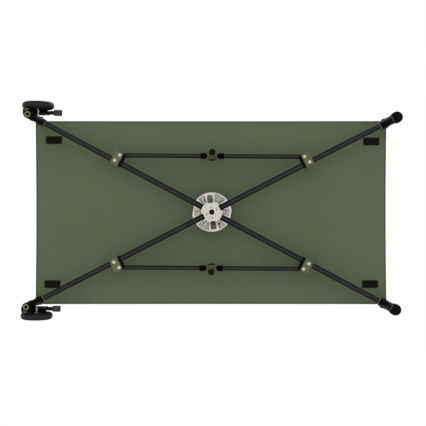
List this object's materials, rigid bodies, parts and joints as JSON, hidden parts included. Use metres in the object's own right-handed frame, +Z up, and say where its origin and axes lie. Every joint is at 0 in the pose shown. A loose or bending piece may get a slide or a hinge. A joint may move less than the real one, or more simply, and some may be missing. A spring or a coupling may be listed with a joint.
{
  "type": "folding stretcher bed",
  "caption": "Folding stretcher bed: fabric sheet on arms that fold down from a central hub, corner and middle legs, two braked wheels at the head end.",
  "frame": {"origin": "on the floor under the middle of the whole outline", "axes": "+Z up, +X towards the foot end, -X towards the head end with the wheels, Y across the bed"},
  "size_m": [2.0191, 1.1628, 0.448],
  "materials": {
    "canvas": "coated olive canvas",
    "hook_tape": "matte hook tape",
    "tube": "satin black powder coat",
    "cast": "as-cast, matte",
    "cast_black": "satin black",
    "olive": "matte olive",
    "rubber": "matte",
    "tyre": "matte",
    "rim": "moulded",
    "steel": "zinc plated",
    "steel_black": "satin black",
    "grip": "matte"
  },
  "bodies": {
    "hub": {"hub_casting": "cast", "hub_pin_1": "steel", "hub_pin_2": "steel", "hub_pin_3": "steel", "hub_pin_4": "steel", "bed_sheet": "canvas", "head_pad": "canvas", "patch_head_left": "hook_tape", "patch_head_right": "hook_tape", "patch_foot_left": "hook_tape", "patch_foot_right": "hook_tape"},
    "arm_foot_right": {"arm_tube_foot_right": "tube", "corner_fitting_foot_right": "cast_black", "leg_tube_foot_right": "tube", "foot_foot_right": "rubber", "strut_clamp_foot_right": "olive", "strut_rivet_foot_right": "steel"},
    "arm_head_right": {"arm_tube_head_right": "tube", "corner_fitting_head_right": "cast_black", "leg_tube_head_right": "tube", "foot_head_right": "rubber", "strut_clamp_head_right": "olive", "strut_rivet_head_right": "steel", "wheel_bracket_right": "cast_black", "wheel_axle_right": "steel"},
    "arm_head_left": {"arm_tube_head_left": "tube", "corner_fitting_head_left": "cast_black", "leg_tube_head_left": "tube", "foot_head_left": "rubber", "strut_clamp_head_left": "olive", "strut_rivet_head_left": "steel", "wheel_bracket_left": "cast_black", "wheel_axle_left": "steel"},
    "arm_foot_left": {"arm_tube_foot_left": "tube", "corner_fitting_foot_left": "cast_black", "leg_tube_foot_left": "tube", "foot_foot_left": "rubber", "strut_clamp_foot_left": "olive", "strut_rivet_foot_left": "steel"},
    "strut_foot_right": {"strut_tube_foot_right": "tube", "strut_plug_foot_right": "rubber"},
    "strut_head_right": {"strut_tube_head_right": "tube", "strut_plug_head_right": "rubber"},
    "strut_head_left": {"strut_tube_head_left": "tube", "strut_plug_head_left": "rubber"},
    "strut_foot_left": {"strut_tube_foot_left": "tube", "strut_plug_foot_left": "rubber"},
    "middle_right": {"middle_fitting_right": "olive", "middle_leg_right": "olive"},
    "middle_left": {"middle_fitting_left": "olive", "middle_leg_left": "olive"},
    "wheel_right": {"wheel_tyre_right": "tyre", "wheel_rim_right": "rim"},
    "pedal_right": {"pedal_lever_right": "steel_black", "pedal_grip_right": "grip"},
    "wheel_left": {"wheel_tyre_left": "tyre", "wheel_rim_left": "rim"},
    "pedal_left": {"pedal_lever_left": "steel_black", "pedal_grip_left": "grip"}
  },
  "joints": [
    {"name": "fold", "type": "hinge", "parent": "hub", "child": "arm_foot_right", "pos_m": [0.0755, 0.03469, 0.33], "axis": [-0.4625, 0.8866, 0], "range_deg": [0, 70]},
    {"name": "fold_head_right", "type": "hinge", "parent": "hub", "child": "arm_head_right", "pos_m": [-0.0575, 0.03469, 0.33], "axis": [-0.4625, -0.8866, 0], "range_deg": [0, 70]},
    {"name": "fold_head_left", "type": "hinge", "parent": "hub", "child": "arm_head_left", "pos_m": [-0.0575, -0.03469, 0.33], "axis": [0.4625, -0.8866, 0], "range_deg": [0, 70]},
    {"name": "fold_foot_left", "type": "hinge", "parent": "hub", "child": "arm_foot_left", "pos_m": [0.0755, -0.03469, 0.33], "axis": [0.4625, 0.8866, 0], "range_deg": [0, 70]},
    {"name": "strut_foot_right_swing", "type": "hinge", "parent": "arm_foot_right", "child": "strut_foot_right", "pos_m": [0.528, 0.31598, 0.33], "axis": [0, 0, 1], "range_deg": [0, 18.3]},
    {"name": "strut_head_right_swing", "type": "hinge", "parent": "arm_head_right", "child": "strut_head_right", "pos_m": [-0.51, 0.31598, 0.33], "axis": [0, 0, -1], "range_deg": [0, 18.3]},
    {"name": "strut_head_left_swing", "type": "hinge", "parent": "arm_head_left", "child": "strut_head_left", "pos_m": [-0.51, -0.31598, 0.33], "axis": [0, 0, 1], "range_deg": [0, 18.3]},
    {"name": "strut_foot_left_swing", "type": "hinge", "parent": "arm_foot_left", "child": "strut_foot_left", "pos_m": [0.528, -0.31598, 0.33], "axis": [0, 0, -1], "range_deg": [0, 18.3]},
    {"name": "middle_right_hinge", "type": "hinge", "parent": "strut_head_right", "child": "middle_right", "pos_m": [-0.0305, 0.31598, 0.342], "axis": [0.3087, 0.9253, 0.2203], "range_deg": [0, 72.2]},
    {"name": "middle_left_hinge", "type": "hinge", "parent": "strut_head_left", "child": "middle_left", "pos_m": [-0.0305, -0.31598, 0.342], "axis": [-0.3087, 0.9253, -0.2203], "range_deg": [0, 72.2]},
    {"name": "wheel_right_spin", "type": "hinge", "parent": "arm_head_right", "child": "wheel_right", "pos_m": [-0.92372, 0.56192, 0.088], "axis": [0, 1, 0], "continuous": true},
    {"name": "pedal_right_press", "type": "hinge", "parent": "arm_head_right", "child": "pedal_right", "pos_m": [-0.89072, 0.52942, 0.134], "axis": [0, 1, 0], "range_deg": [0, 18]},
    {"name": "wheel_left_spin", "type": "hinge", "parent": "arm_head_left", "child": "wheel_left", "pos_m": [-0.92372, -0.56192, 0.088], "axis": [0, 1, 0], "continuous": true},
    {"name": "pedal_left_press", "type": "hinge", "parent": "arm_head_left", "child": "pedal_left", "pos_m": [-0.89072, -0.52942, 0.134], "axis": [0, 1, 0], "range_deg": [0, 18]}
  ],
  "couplings": [
    {"joint": "fold_head_right", "follows": "fold", "ratio": 1},
    {"joint": "fold_head_left", "follows": "fold", "ratio": 1},
    {"joint": "fold_foot_left", "follows": "fold", "ratio": 1},
    {"joint": "strut_foot_right_swing", "follows": "fold", "ratio": 0.26},
    {"joint": "strut_head_right_swing", "follows": "fold", "ratio": 0.26},
    {"joint": "strut_head_left_swing", "follows": "fold", "ratio": 0.26},
    {"joint": "strut_foot_left_swing", "follows": "fold", "ratio": 0.26},
    {"joint": "middle_right_hinge", "follows": "fold", "ratio": 1.0291},
    {"joint": "middle_left_hinge", "follows": "fold", "ratio": 1.0291}
  ]
}
